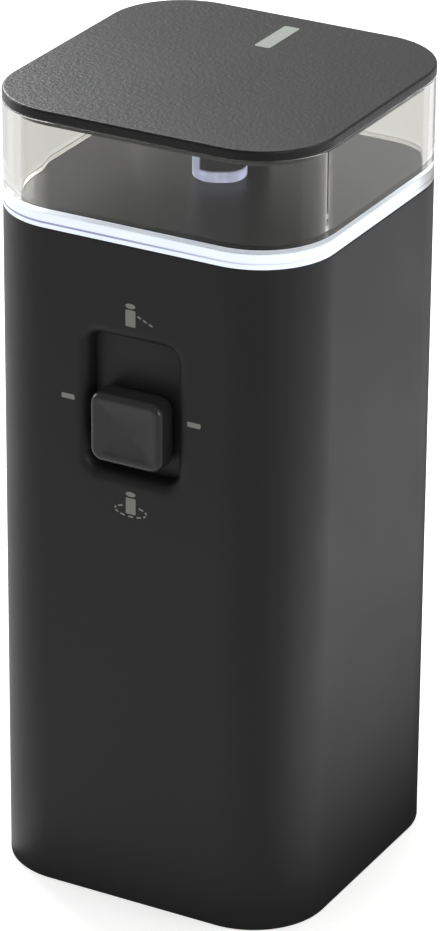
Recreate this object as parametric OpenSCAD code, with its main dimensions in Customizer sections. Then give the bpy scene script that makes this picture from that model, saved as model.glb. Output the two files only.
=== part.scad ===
// Battery beacon that keeps a robot vacuum out of a doorway or a circle of floor.
// A square tower with rounded corners carries a clear head over a glowing ring,
// and a three-position slider at the front picks beam, off or halo.
// Millimetres, +Z up, origin at the middle of the base, front at -Y,
// and the beam leaves at +Y, where the mark on the cap points.

/* [Body] */
// Width and depth of the square tower
body_width = 40; // [39.5:0.1:44]
// Height of the moulded body, from the floor to the glowing ring
body_height = 81.1; // [80:0.1:92]
// Radius of the tower's upright corners
corner_radius = 9.1; // [8:0.1:10]
// Thickness of the body's walls
wall = 2.1; // [1.6:0.1:2.2]
// Rounding of the body's top and bottom edges
body_edge = 0.2; // [0.1:0.05:0.4]

/* [Head] */
// Height of the glowing ring between body and lens
ring_height = 1.8; // [1.6:0.1:2.6]
// Height of the fine groove around the ring, above its foot
groove_height = 0.6; // [0.4:0.1:0.9]
// Height of the clear lens
lens_height = 10.6; // [9:0.1:14]
// Thickness of the clear lens's walls
lens_wall = 2; // [1.6:0.1:2.6]
// Thickness of the cap's rim
cap_thickness = 1.2; // [1:0.1:2]
// Rounding of the cap's top edge
cap_edge = 0.3; // [0.1:0.05:0.5]
// Depth of the lip under the cap that centres it in the lens
cap_lip = 1; // [0.6:0.1:1.4]
// Thickness of the black deck inside the ring
deck_thickness = 1.2; // [0.8:0.1:1.3]
// Diameter of the clear column around the halo emitter
column_diameter = 5.5; // [5.2:0.1:7]
// Height of the column's solid clear foot
column_foot = 1.3; // [0.8:0.1:2]

/* [Direction mark] */
// Length of the mark on the cap that shows where the beam goes
mark_length = 7.4; // [4:0.1:10]
// Width of that mark
mark_width = 1.95; // [1:0.05:3]
// Distance from the cap's rear edge to the mark
mark_inset = 3.3; // [2:0.1:6]

/* [Mode slider] */
// Distance from the body's top down to the middle of the slider's opening
opening_drop = 19.3; // [18.5:0.1:20]
// Width of the slider's opening
opening_width = 11.1; // [10.6:0.1:12]
// Height of the slider's opening
opening_height = 16.2; // [15:0.1:17]
// Corner radius of the slider's opening
opening_corner = 1.6; // [1.2:0.1:2.4]
// Rounding of the opening's outer rim
rim_round = 1.4; // [0.6:0.1:1.5]
// Width of the knob
knob_width = 9.1; // [8:0.1:9.8]
// Height of the knob
knob_height = 8.3; // [7.4:0.1:9]
// Corner radius of the knob
knob_corner = 1.5; // [1:0.1:2]
// How far the knob stands out of the body
knob_proud = 1.4; // [0.9:0.1:2]
// Thickness of the knob in front of its neck
knob_thickness = 2.6; // [2.2:0.1:2.7]
// Depth of the finger dish in the knob
dish_depth = 0.5; // [0.2:0.05:0.7]
// Travel from one position of the slider to the next
mode_step = 2.25; // [1.5:0.05:2.5]

/* [Printed signs] */
// Length of each of the two off marks beside the opening
off_mark_length = 1.65; // [1:0.05:2]
// Thickness of the off marks
off_mark_height = 0.6; // [0.4:0.05:0.9]
// Gap between the opening and an off mark
off_mark_gap = 1.55; // [1.5:0.05:2]
// Width of the little tower drawn in each sign
sign_tower_width = 1.24; // [1:0.02:1.5]
// Height of the little tower's side
sign_tower_height = 1.95; // [1.5:0.05:2.4]
// Gap between the opening and the foot of the upper sign
beam_sign_gap = 1.85; // [1.6:0.05:2.4]
// Gap between the opening and the top of the lower sign
halo_sign_gap = 1.75; // [1.6:0.05:2.4]

/* [Batteries] */
// Diameter of one cell
cell_diameter = 14.3; // [13.8:0.1:14.5]
// Length of one cell with its button
cell_length = 50.5; // [49:0.1:50.5]
// Clearance around a cell in its tube
cell_clearance = 0.35; // [0.2:0.05:0.4]
// Wall of the battery tubes
tube_wall = 1; // [0.8:0.1:1.1]

/* [Base] */
// Thickness of the base plate
base_thickness = 3.2; // [3:0.1:4]
// Thickness of the battery door
door_thickness = 1.6; // [1.4:0.1:1.7]
// How far the door lies above the floor
door_recess = 0.3; // [0.2:0.05:0.4]

/* [Electronics] */
// Thickness of both circuit boards
board_thickness = 1.6; // [1:0.1:1.8]
// Width of the upright main board
board_width = 28; // [25:0.5:30]
// Depth of the slide switch on the board
switch_depth = 4.8; // [4:0.1:5.2]
// Number of white lamps under each side of the ring
lamps_per_side = 2; // [1:1:3]

/* [Hidden] */

// Smoothness of round shapes
$fn = 48;
// Overshoot of a cut past the face that it opens
past = 0.5;
// Running clearance between moving pieces, and push fit between fixed ones
running = 0.15;
fit_gap = 0.05;
// Thickness of a printed sign, which fills a recess of the same depth
ink = 0.1;
// Gap under the little tower's lid in a sign, and half the lid's height
lid_gap = 0.16;
lid_rise = 0.3;

// Outline of the tower and of the space inside it
half = body_width / 2;
inner_half = half - wall;
inner_corner = corner_radius - wall;
front = -half;
front_inside = -inner_half;
total_height = body_height + ring_height + lens_height + cap_thickness;

// Levels of the head
ring_low = body_height;
ring_high = ring_low + ring_height;
deck_low = ring_high - deck_thickness;
lens_high = ring_high + lens_height;
lens_half = half - lens_wall;
lens_corner = corner_radius - lens_wall;
lens_edge = 0.15;
ring_skirt_wall = 2;
ring_skirt_depth = 1;
ring_skirt_low = ring_low - ring_skirt_depth;
ring_ledge_width = 2.4;
ring_ledge = lens_half - ring_ledge_width;
groove_depth = 0.12;
groove_width = 0.15;
deck_edge = 0.15;
cap_under_edge = 0.1;
cap_lip_wall = 1.2;
mark_middle = half - mark_inset - mark_length / 2;

// Column of the halo emitter, on the middle axis
column_radius = column_diameter / 2;
column_wall = 0.55;
core_radius = column_radius - column_wall;
core_low = ring_high + column_foot;
core_height = 5.4;
column_high = lens_high - cap_lip;
reflector_radius = core_radius - fit_gap;
reflector_height = 2.4;
reflector_boss_wall = 1.2;
reflector_boss = column_radius + reflector_boss_wall;
reflector_tip = 0.2;
pin_radius = 0.25;
pin_pitch = 2.54;
pin_hole = pin_radius + 0.1;

// Beam emitter, a small lamp that lies behind the column and looks to the rear
beam_radius = 1.5;
beam_flange_radius = 1.9;
beam_flange = 0.6;
beam_length = 4;
beam_front = column_radius + 0.8;
beam_axis_height = 2.4;
beam_holder_half = 2.6;
beam_holder_length = 2.8;
beam_holder_top = 1.4;

// Opening, knob and shutter of the mode slider
opening_middle = body_height - opening_drop;
rest_drop = mode_step;
knob_middle = opening_middle - rest_drop;
knob_round = 0.8;
knob_front = front - knob_proud;
knob_back = knob_front + knob_thickness;
dish_margin = 0.95;
neck_width = 7;
neck_height = 6;
shutter_front = front_inside + running;
shutter_thickness = 1;
shutter_back = shutter_front + shutter_thickness;
shutter_lap = 0.7;
shutter_half_width = opening_width / 2 + shutter_lap;
shutter_half_height = opening_height / 2 + mode_step + shutter_lap;
fork_gap = 0.1;
fork_wall = 1;
fork_depth = 2;
fork_half_width = 2;

// Rails that hold the shutter against the front wall, joined by a bar at their foot
rail_width = 2;
rail_lip = 1;
rail_lip_reach = 1.6;
rail_bar = 1.3;
rail_inner = shutter_half_width + running;
rail_outer = rail_inner + rail_width;
rail_lip_front = shutter_back + running;
rail_back = rail_lip_front + rail_lip;
rail_half_height = shutter_half_height + mode_step + 2 * running;

// Slide switch and its lever, from the shutter's fork back to the board
lever_size = 2;
lever_tip_gap = 0.4;
switch_gap = 3.4;
switch_front = shutter_back + switch_gap;
switch_back = switch_front + switch_depth;
switch_half_width = 3.4;
switch_half_height = 6.6;
switch_shell = 0.4;
lever_clearance = 0.1;
lever_front = shutter_back + lever_tip_gap;
lever_depth = 3;
lever_back = switch_front + lever_depth;

// Main board, upright behind the switch
board_front = switch_back;
board_back = board_front + board_thickness;
board_drop = 19.8;
board_low = opening_middle - board_drop;
header_drop = 1.2;
header_pins = 5;
header_depth = 2.5;

// Places of the parts on the main board's front
low_parts_rise = 12;
low_parts_z = board_low + low_parts_rise;
chip_x = -7.2;
crystal_x = 8.8;
capacitor_x = 11;
inductor_x = -10.5;
resistor_rise = 2;
part_drop = 1.6;

// Batteries, side by side behind the board
cell_radius = cell_diameter / 2;
bore_radius = cell_radius + cell_clearance;
tube_radius = bore_radius + tube_wall;
tube_web = 0.6;
tube_wall_gap = 0.4;
cell_x = bore_radius + tube_web / 2;
cell_y = inner_half - tube_wall_gap - tube_radius;
cell_button_radius = 2.75;
cell_button_height = 1.3;
cell_shoulder = 0.6;
cell_lift = 0.15;
contact_sheet = 0.3;
spring_space = 3.2;
ceiling_thickness = 1.6;

// Battery door in the base plate, hooked in at its front edge
plate_gap = 0.15;
plate_half = inner_half - plate_gap;
plate_corner = inner_corner - plate_gap;
door_gap = 0.15;
door_ledge = 0.45;
door_ceiling_gap = 0.15;
door_half_width = cell_x + bore_radius + door_ledge;
door_front = cell_y - bore_radius - door_ledge;
door_rear = cell_y + bore_radius + door_ledge - door_gap;
door_corner_ease = 1.6;
door_corner = bore_radius - door_corner_ease;
door_high = door_recess + door_thickness;
door_seat = door_high + door_ceiling_gap;
hook_width = 4;
hook_reach = 0.7;
hook_thickness = 0.6;
hook_gap = 0.3;
hook_x = 8;
scoop_width = 10;
scoop_length = 4;
scoop_depth = 0.7;
scoop_inset = 1.6;
bridge_lap = 3.2;
bridge_half_width = cell_x + bridge_lap;
bridge_half_depth = 2.6;
bridge_notch = 0.4;
cell_low = door_high + contact_sheet + cell_lift;
cell_high = cell_low + cell_length;
ceiling_low = cell_high + spring_space;
ceiling_high = ceiling_low + ceiling_thickness;

// Ring board and the mast that carries both boards
ring_board_gap = 0.5;
lamp_height = 0.7;
lamp_gap = 0.2;
lamp_length = 2;
lamp_width = 1.2;
ring_board_high = ring_skirt_low - lamp_gap - lamp_height;
ring_board_low = ring_board_high - board_thickness;
ring_board_half = inner_half - ring_board_gap;
ring_board_corner = inner_corner - ring_board_gap;
lamp_line = inner_half - running - ring_skirt_wall / 2;
board_high = ring_board_low - header_drop;
mast_half_width = 11.5;
mast_thickness = 3;
mast_gap = 2.85;
mast_front = board_back + header_depth + mast_gap;
mast_back = mast_front + mast_thickness;
mast_flange = 2;
mast_flange_reach = 2.4;
ring_screw_x = 7;
ring_screw_y = (mast_front + mast_back) / 2;

// Screws: one size for the base, one for the boards
base_screw_radius = 1.1;
base_screw_head = 1.8;
base_screw_head_height = 1.2;
base_screw_length = 8;
base_screw_sink = 0.6;
board_screw_radius = 0.8;
board_screw_head = 1.7;
board_screw_head_height = 1;
board_screw_length = 5;
boss_wall = 1.3;
boss_height = 11;
boss_sink = 0.8;
foot_rib_sink = 1.1;
corner_boss_inset = 4.5;
foot_boss_x = 10.5;
foot_boss_gap = 2.9;
lower_screw_rise = 4;
upper_screw_x = 9;
upper_screw_drop = 4;
boss_base_radius = base_screw_radius + boss_wall;
boss_board_radius = board_screw_radius + boss_wall;
corner_boss = inner_half - corner_boss_inset;
foot_boss_y = cell_y - tube_radius - foot_boss_gap;
lower_screw_z = board_low + lower_screw_rise;
upper_screw_z = board_high - upper_screw_drop;
base_screw_places = [[-corner_boss, -corner_boss], [corner_boss, -corner_boss],
    [-foot_boss_x, foot_boss_y], [foot_boss_x, foot_boss_y]];
board_screw_places = [[-cell_x, lower_screw_z], [cell_x, lower_screw_z],
    [-upper_screw_x, upper_screw_z], [upper_screw_x, upper_screw_z]];

// Flat rounded rectangle from squares and circles, centred
module rounded_rect(half_x, half_y, radius) {
    square([2 * half_x, 2 * (half_y - radius)], center = true);
    square([2 * (half_x - radius), 2 * half_y], center = true);
    for (sx = [-1, 1], sy = [-1, 1])
        translate([sx * (half_x - radius), sy * (half_y - radius)]) circle(radius);
}

// Upright prism on a rounded rectangle
module rounded_prism(half_x, half_y, radius, low, high) {
    translate([0, 0, low]) linear_extrude(high - low) rounded_rect(half_x, half_y, radius);
}

// Body on a rounded rectangle whose side has the profile given as a child:
// x runs outward from the corners' centres, y runs up from low to high
module profiled_solid(half_x, half_y, radius, low, high) {
    core_x = half_x - radius;
    core_y = half_y - radius;
    translate([-core_x, -core_y, low]) cube([2 * core_x, 2 * core_y, high - low]);
    for (turn = [0, 2]) rotate(90 * turn) {
        translate([core_x, core_y, 0]) rotate_extrude(angle = 90) children();
        translate([-core_x, core_y, 0]) rotate(90) rotate_extrude(angle = 90) children();
        translate([core_x, core_y, 0]) rotate([90, 0, 0]) linear_extrude(2 * core_y) children();
        translate([-core_x, core_y, 0]) rotate([90, 0, 90]) linear_extrude(2 * core_x)
            children();
    }
}

// Strip that ends a side profile: a square with its outer corner rounded
module rounded_end(reach, radius) {
    square([reach - radius, radius]);
    intersection() {
        translate([reach - radius, 0]) circle(radius);
        square([reach, radius]);
    }
}

// Side profile with a round of its own at the top and at the bottom
module edge_profile(reach, low, high, top_round, bottom_round) {
    translate([0, low + bottom_round]) square([reach, high - low - top_round - bottom_round]);
    if (top_round > 0) translate([0, high - top_round]) rounded_end(reach, top_round);
    if (bottom_round > 0) translate([0, low + bottom_round]) mirror([0, 1])
        rounded_end(reach, bottom_round);
}

// Puts a shape drawn in x and y on the front face, looking outward
module on_front(depth, middle) {
    translate([0, depth, middle]) rotate([90, 0, 0]) children();
}

// Cut for the slider's opening, with its rounded rim, seen from the front
module opening_cut() {
    on_front(front, opening_middle)
        profiled_solid(opening_width / 2 + rim_round, opening_height / 2 + rim_round,
                opening_corner + rim_round, -wall - past, past)
            difference() {
                translate([0, -wall - past])
                    square([opening_corner + rim_round, wall + 2 * past]);
                translate([opening_corner + rim_round, -rim_round]) circle(rim_round);
                translate([opening_corner, -wall - 2 * past])
                    square([rim_round + past, wall + 2 * past - rim_round]);
            }
}

// Outline of the little tower in a sign, its foot at the origin
module sign_tower() {
    lid_radius = (pow(sign_tower_width / 2, 2) + pow(lid_rise, 2)) / (2 * lid_rise);
    translate([-sign_tower_width / 2, 0]) square([sign_tower_width, sign_tower_height]);
    translate([0, sign_tower_height + lid_gap + lid_rise]) intersection() {
        translate([0, lid_radius - lid_rise]) circle(lid_radius);
        translate([0, lid_rise - lid_radius]) circle(lid_radius);
    }
}

// Three dashes that leave the upper tower like a beam
module sign_beam() {
    dash = 0.5;
    dash_gap = 0.28;
    dash_height = 0.2;
    slope = -24;
    beam_start_gap = 0.25;
    beam_start_share = 0.72;
    start = [sign_tower_width / 2 + beam_start_gap, sign_tower_height * beam_start_share];
    for (i = [0:2]) translate(start) rotate(slope) translate([i * (dash + dash_gap), 0])
        square([dash, dash_height]);
}

// Dashes on an oval around the lower tower, open where the tower hides it
module sign_halo() {
    dashes = 9;
    steps = 4;
    half_x = 2.1;
    half_y = 0.75;
    line = 0.2;
    first = 125;
    span = 290;
    duty = 0.62;
    for (i = [0:dashes - 1]) {
        from = first + i * span / (dashes - 1 + duty);
        to = from + duty * span / (dashes - 1 + duty);
        polygon([for (k = [0:steps]) let (a = from + (to - from) * k / steps)
                [half_x * cos(a), half_y * sin(a)],
            for (k = [steps:-1:0]) let (a = from + (to - from) * k / steps)
                [(half_x - line) * cos(a), (half_y - line) * sin(a)]]);
    }
}

// Flat shapes of the three prints beside the opening
module off_marks_flat() {
    for (side = [-1, 1])
        translate([side * (opening_width / 2 + off_mark_gap + off_mark_length / 2), 0])
            square([off_mark_length, off_mark_height], center = true);
}

module beam_sign_flat() {
    translate([0, opening_height / 2 + beam_sign_gap]) {
        sign_tower();
        sign_beam();
    }
}

module halo_sign_flat() {
    halo_rise = 0.35;
    foot = sign_tower_height + lid_gap + 2 * lid_rise;
    translate([0, -opening_height / 2 - halo_sign_gap - foot]) {
        sign_tower();
        translate([0, halo_rise]) sign_halo();
    }
}

// A print sunk into the front face by its own thickness
module front_print() {
    on_front(front + ink, opening_middle) linear_extrude(ink) children();
}

// Recess that a print fills
module front_recess() {
    on_front(front + ink, opening_middle) linear_extrude(ink + past) children();
}

// Blind or through hole for a screw, up from the level given
module screw_hole(radius, low, high) {
    translate([0, 0, low]) cylinder(r = radius, h = high - low);
}

// Bosses in the body's front corners, tied to the wall by a rib
module corner_bosses() {
    rib = 1.6;
    reach = inner_corner - sqrt(2) * (inner_corner - corner_boss_inset) + wall / 2;
    for (side = [-1, 1]) translate([side * corner_boss, -corner_boss, base_thickness]) {
        difference() {
            union() {
                cylinder(r = boss_base_radius, h = boss_height);
                rotate(side > 0 ? -45 : -135) translate([0, -rib / 2, 0])
                    cube([reach, rib, boss_height]);
            }
            translate([0, 0, -past])
                cylinder(r = base_screw_radius + fit_gap, h = base_screw_length + past);
        }
    }
}

module body_shell() {
    color([0.15, 0.15, 0.16]) {
        difference() {
            profiled_solid(half, half, corner_radius, 0, body_height)
                edge_profile(corner_radius, 0, body_height, body_edge, body_edge);
            rounded_prism(inner_half, inner_half, inner_corner, -past, body_height + past);
            opening_cut();
            front_recess() off_marks_flat();
            front_recess() beam_sign_flat();
            front_recess() halo_sign_flat();
        }
        corner_bosses();
    }
}

module light_ring() {
    color([0.95, 0.96, 1]) difference() {
        union() {
            profiled_solid(half, half, corner_radius, ring_low, ring_high)
                difference() {
                    edge_profile(corner_radius, ring_low, ring_high, lens_edge, lens_edge);
                    translate([corner_radius - groove_depth, ring_low + groove_height])
                        square([groove_depth + past, groove_width]);
                }
            rounded_prism(inner_half - running, inner_half - running, inner_corner - running,
                ring_skirt_low, ring_low);
        }
        rounded_prism(lens_half + fit_gap, lens_half + fit_gap, lens_corner + fit_gap,
            deck_low, ring_high + past);
        rounded_prism(ring_ledge, ring_ledge, inner_corner - running - ring_skirt_wall,
            ring_skirt_low - past, ring_high + past);
    }
}

module clear_lens() {
    color([0.85, 0.88, 0.88, 0.4]) difference() {
        profiled_solid(half, half, corner_radius, ring_high, lens_high)
            edge_profile(corner_radius, ring_high, lens_high, lens_edge, lens_edge);
        rounded_prism(lens_half, lens_half, lens_corner, ring_high - past, lens_high + past);
    }
}

module deck() {
    deck_half = lens_half - fit_gap;
    deck_corner = lens_corner - fit_gap;
    color([0.12, 0.12, 0.13]) difference() {
        profiled_solid(deck_half, deck_half, deck_corner, deck_low, ring_high)
            edge_profile(deck_corner, deck_low, ring_high, deck_edge, 0);
        for (side = [-1, 1]) {
            translate([side * pin_pitch / 2, 0, deck_low - past])
                cylinder(r = pin_hole, h = deck_thickness + 2 * past);
            translate([side * pin_pitch / 2, beam_front + beam_flange / 2, deck_low - past])
                cylinder(r = pin_hole, h = deck_thickness + 2 * past);
        }
    }
}

module top_cap() {
    lip_half = lens_half - fit_gap;
    lip_corner = lens_corner - fit_gap;
    color([0.3, 0.3, 0.29]) difference() {
        union() {
            profiled_solid(half, half, corner_radius, lens_high, total_height)
                edge_profile(corner_radius, lens_high, total_height, cap_edge, cap_under_edge);
            difference() {
                rounded_prism(lip_half, lip_half, lip_corner, lens_high - cap_lip, lens_high);
                rounded_prism(lip_half - cap_lip_wall, lip_half - cap_lip_wall,
                    lip_corner - cap_lip_wall, lens_high - cap_lip - past, lens_high);
            }
            translate([0, 0, lens_high - cap_lip]) difference() {
                cylinder(r = reflector_boss, h = cap_lip);
                translate([0, 0, -past]) cylinder(r = reflector_radius + fit_gap, h = cap_lip + past);
            }
        }
        translate([0, mark_middle, total_height - ink]) linear_extrude(ink + past) mark_flat();
    }
}

// Flat shape of the mark that points along the beam
module mark_flat() {
    mark_corner = 0.3;
    rounded_rect(mark_width / 2, mark_length / 2, mark_corner);
}

module direction_mark() {
    color([0.66, 0.67, 0.66]) translate([0, mark_middle, total_height - ink])
        linear_extrude(ink) mark_flat();
}

module halo_lens() {
    foot_round = 0.25;
    top_round = 0.1;
    color([0.8, 0.82, 0.95, 0.5]) difference() {
        rotate_extrude()
            edge_profile(column_radius, ring_high, column_high, top_round, foot_round);
        translate([0, 0, core_low]) cylinder(r = core_radius, h = column_high);
        for (side = [-1, 1]) translate([side * pin_pitch / 2, 0, ring_high - past])
            cylinder(r = pin_hole, h = column_foot + 2 * past);
    }
}

module halo_emitter() {
    body_radius = core_radius - fit_gap;
    dome = body_radius;
    color([0.08, 0.08, 0.1]) {
        translate([0, 0, core_low]) cylinder(r = body_radius, h = core_height - dome);
        translate([0, 0, core_low + core_height - dome]) intersection() {
            sphere(dome);
            cylinder(r = body_radius + past, h = dome + past);
        }
        for (side = [-1, 1]) translate([side * pin_pitch / 2, 0, ring_board_high])
            cylinder(r = pin_radius, h = core_low - ring_board_high);
    }
}

module halo_reflector() {
    color([0.75, 0.76, 0.78]) {
        translate([0, 0, lens_high - cap_lip]) cylinder(r = reflector_radius, h = cap_lip);
        translate([0, 0, lens_high - cap_lip - reflector_height])
            cylinder(r1 = reflector_tip, r2 = reflector_radius, h = reflector_height);
    }
}

module beam_emitter() {
    axis = ring_high + beam_axis_height;
    color([0.1, 0.1, 0.14]) {
        translate([0, beam_front, axis]) rotate([-90, 0, 0]) {
            cylinder(r = beam_flange_radius, h = beam_flange);
            cylinder(r = beam_radius, h = beam_length);
            translate([0, 0, beam_length]) sphere(beam_radius);
        }
        for (side = [-1, 1])
            translate([side * pin_pitch / 2, beam_front + beam_flange / 2, ring_board_high])
                cylinder(r = pin_radius, h = axis - ring_board_high);
    }
}

module beam_holder() {
    holder_front = beam_front + beam_flange + fit_gap;
    color([0.11, 0.11, 0.12]) difference() {
        translate([-beam_holder_half, holder_front, ring_high])
            cube([2 * beam_holder_half, beam_holder_length,
                beam_axis_height + beam_radius + beam_holder_top]);
        translate([0, holder_front - past, ring_high + beam_axis_height]) rotate([-90, 0, 0])
            cylinder(r = beam_radius + fit_gap, h = beam_holder_length + 2 * past);
    }
}

module mode_slider() {
    dish_half_x = knob_width / 2 - dish_margin;
    dish_half_z = knob_height / 2 - dish_margin;
    dish_radius = (pow(dish_half_x, 2) + pow(dish_depth, 2)) / (2 * dish_depth);
    color([0.1, 0.1, 0.11]) {
        difference() {
            on_front(knob_back, knob_middle)
                profiled_solid(knob_width / 2, knob_height / 2, knob_corner, 0, knob_thickness)
                    edge_profile(knob_corner, 0, knob_thickness, knob_round, 0);
            on_front(knob_front, knob_middle) intersection() {
                translate([0, 0, dish_radius - dish_depth]) sphere(dish_radius, $fn = 96);
                translate([0, 0, -2 * dish_depth]) linear_extrude(3 * dish_depth)
                    rounded_rect(dish_half_x, dish_half_z, knob_corner);
            }
        }
        on_front(shutter_front, knob_middle) linear_extrude(shutter_front - knob_back)
            square([neck_width, neck_height], center = true);
        on_front(shutter_back, knob_middle) linear_extrude(shutter_thickness)
            square([2 * shutter_half_width, 2 * shutter_half_height], center = true);
        for (side = [-1, 1])
            on_front(shutter_back + fork_depth,
                    knob_middle + side * (lever_size / 2 + fork_gap + fork_wall / 2))
                linear_extrude(fork_depth)
                    square([2 * fork_half_width, fork_wall], center = true);
    }
}

module slider_rails() {
    depth = rail_back - front_inside;
    color([0.16, 0.16, 0.17]) {
        for (side = [-1, 1]) {
            on_front(rail_back, opening_middle) linear_extrude(depth)
                translate([side * (rail_inner + rail_width / 2), 0])
                    square([rail_width, 2 * rail_half_height], center = true);
            on_front(rail_back, opening_middle) linear_extrude(rail_lip)
                translate([side * (rail_inner - rail_lip_reach / 2), 0])
                    square([rail_lip_reach, 2 * rail_half_height], center = true);
        }
        on_front(rail_back, opening_middle - rail_half_height) linear_extrude(depth)
            translate([-rail_outer, -rail_bar]) square([2 * rail_outer, rail_bar]);
    }
}

module mode_switch() {
    slot_half = mode_step + lever_size / 2 + lever_clearance;
    cavity_half_x = switch_half_width - switch_shell;
    cavity_half_z = switch_half_height - switch_shell;
    color([0.72, 0.73, 0.74]) difference() {
        on_front(switch_back, opening_middle) linear_extrude(switch_depth)
            square([2 * switch_half_width, 2 * switch_half_height], center = true);
        on_front(switch_back - switch_shell, opening_middle)
            linear_extrude(switch_depth - 2 * switch_shell)
                square([2 * cavity_half_x, 2 * cavity_half_z], center = true);
        on_front(switch_front + past, opening_middle) linear_extrude(2 * past)
            square([lever_size + 2 * lever_clearance, 2 * slot_half], center = true);
    }
}

module switch_lever() {
    slug_half_x = switch_half_width - switch_shell - lever_clearance;
    slug_half_z = switch_half_height - switch_shell - mode_step - 2 * lever_clearance;
    slug_front = switch_front + switch_shell + lever_clearance;
    color([0.9, 0.9, 0.88]) {
        on_front(lever_back, knob_middle) linear_extrude(lever_back - lever_front)
            square([lever_size, lever_size], center = true);
        on_front(lever_back, knob_middle) linear_extrude(lever_back - slug_front)
            square([2 * slug_half_x, 2 * slug_half_z], center = true);
    }
}

module off_marks() {
    color([0.52, 0.52, 0.5]) front_print() off_marks_flat();
}

module beam_sign() {
    color([0.52, 0.52, 0.5]) front_print() beam_sign_flat();
}

module halo_sign() {
    color([0.52, 0.52, 0.5]) front_print() halo_sign_flat();
}

// Outline of the battery door, grown by the amount given
module door_outline(grow) {
    translate([0, (door_front + door_rear) / 2])
        rounded_rect(door_half_width + grow, (door_rear - door_front) / 2 + grow,
            door_corner + grow);
}

module base_plate() {
    color([0.14, 0.14, 0.15]) difference() {
        rounded_prism(plate_half, plate_half, plate_corner, 0, base_thickness);
        translate([0, 0, -past]) linear_extrude(door_seat + past) door_outline(door_gap);
        for (side = [-1, 1]) {
            translate([side * cell_x, cell_y, door_seat - past])
                cylinder(r = bore_radius, h = base_thickness);
            translate([side * hook_x - hook_width / 2 - hook_gap,
                    door_front - hook_reach - hook_gap, door_high - hook_thickness - hook_gap])
                cube([hook_width + 2 * hook_gap, hook_reach + hook_gap + past,
                    door_seat + hook_gap - door_high + hook_thickness + hook_gap]);
        }
        translate([-bridge_half_width - bridge_notch, cell_y - bridge_half_depth - bridge_notch,
                door_seat - past])
            cube([2 * (bridge_half_width + bridge_notch), 2 * (bridge_half_depth + bridge_notch),
                base_thickness]);
        for (place = base_screw_places) translate(place) {
            screw_hole(base_screw_radius + running, -past, base_thickness + past);
            screw_hole(base_screw_head + running, -past, base_screw_sink + base_screw_head_height);
        }
    }
}

module base_screws() {
    recess = 0.5;
    slot = 0.5;
    for (place = base_screw_places) color([0.6, 0.6, 0.62])
        translate([place[0], place[1], base_screw_sink]) difference() {
            union() {
                cylinder(r = base_screw_head, h = base_screw_head_height);
                cylinder(r = base_screw_radius, h = base_screw_length);
            }
            for (turn = [0, 90]) rotate(turn)
                translate([-base_screw_head / 2, -slot / 2, -past])
                    cube([base_screw_head, slot, past + recess]);
        }
}

module battery_door() {
    grip_ribs = 3;
    grip_pitch = 1.2;
    grip_rib = 0.5;
    scoop_rear = door_rear - scoop_inset;
    color([0.14, 0.14, 0.15]) {
        difference() {
            translate([0, 0, door_recess]) linear_extrude(door_thickness) door_outline(0);
            translate([-scoop_width / 2, scoop_rear - scoop_length, door_recess - past])
                cube([scoop_width, scoop_length, scoop_depth + past]);
        }
        for (i = [1:grip_ribs])
            translate([-scoop_width / 2, scoop_rear - i * grip_pitch, door_recess])
                cube([scoop_width, grip_rib, scoop_depth]);
        for (side = [-1, 1])
            translate([side * hook_x - hook_width / 2, door_front - hook_reach,
                    door_high - hook_thickness])
                cube([hook_width, hook_reach + past, hook_thickness]);
    }
}

module bridge_contact() {
    color([0.8, 0.8, 0.76]) translate([-bridge_half_width, cell_y - bridge_half_depth, door_high])
        cube([2 * bridge_half_width, 2 * bridge_half_depth, contact_sheet]);
}

// Mast that rises from the battery tubes and carries both boards
module mast() {
    translate([-mast_half_width, mast_front, ceiling_low])
        cube([2 * mast_half_width, mast_thickness, ring_board_low - ceiling_low]);
    translate([-mast_half_width, mast_front - mast_flange_reach / 2,
            ring_board_low - mast_flange])
        cube([2 * mast_half_width, mast_thickness + mast_flange_reach, mast_flange]);
    translate([-mast_half_width, mast_front, ceiling_low])
        cube([2 * mast_half_width, cell_y - mast_front, ceiling_thickness]);
}

module battery_carrier() {
    board_boss_hole = board_screw_radius + fit_gap;
    color([0.2, 0.2, 0.22]) difference() {
        union() {
            for (side = [-1, 1]) translate([side * cell_x, cell_y, base_thickness])
                cylinder(r = tube_radius, h = ceiling_high - base_thickness);
            mast();
            for (side = [-1, 1]) {
                translate([side * foot_boss_x, foot_boss_y, base_thickness])
                    cylinder(r = boss_base_radius, h = boss_height);
                translate([side * foot_boss_x - boss_wall / 2, foot_boss_y, base_thickness])
                    cube([boss_wall, foot_boss_gap + foot_rib_sink, boss_height]);
            }
            for (place = board_screw_places) {
                reach = (place[1] < ceiling_low ? cell_y - tube_radius : mast_front)
                    + boss_sink - board_back;
                translate([place[0], board_back, place[1]]) rotate([-90, 0, 0])
                    cylinder(r = boss_board_radius, h = reach);
            }
        }
        for (side = [-1, 1]) translate([side * cell_x, cell_y, base_thickness - past])
            cylinder(r = bore_radius, h = ceiling_low - base_thickness + past);
        for (side = [-1, 1]) translate([side * foot_boss_x, foot_boss_y, base_thickness - past])
            cylinder(r = base_screw_radius + fit_gap, h = base_screw_length + past);
        for (place = board_screw_places)
            translate([place[0], board_back - past, place[1]]) rotate([-90, 0, 0])
                cylinder(r = board_boss_hole, h = board_screw_length - board_thickness + past);
        for (side = [-1, 1])
            translate([side * ring_screw_x, ring_screw_y, ring_board_low])
                rotate([180, 0, 0]) translate([0, 0, -past])
                    cylinder(r = board_boss_hole, h = board_screw_length - board_thickness + past);
    }
}

// One round cell, standing on its flat end
module aa_cell() {
    side_height = cell_length - cell_button_height;
    rotate_extrude() union() {
        translate([0, cell_shoulder]) square([cell_radius, side_height - 2 * cell_shoulder]);
        square([cell_radius - cell_shoulder, side_height]);
        translate([cell_radius - cell_shoulder, cell_shoulder]) circle(cell_shoulder);
        translate([cell_radius - cell_shoulder, side_height - cell_shoulder])
            circle(cell_shoulder);
        square([cell_button_radius, cell_length]);
    }
}

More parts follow.
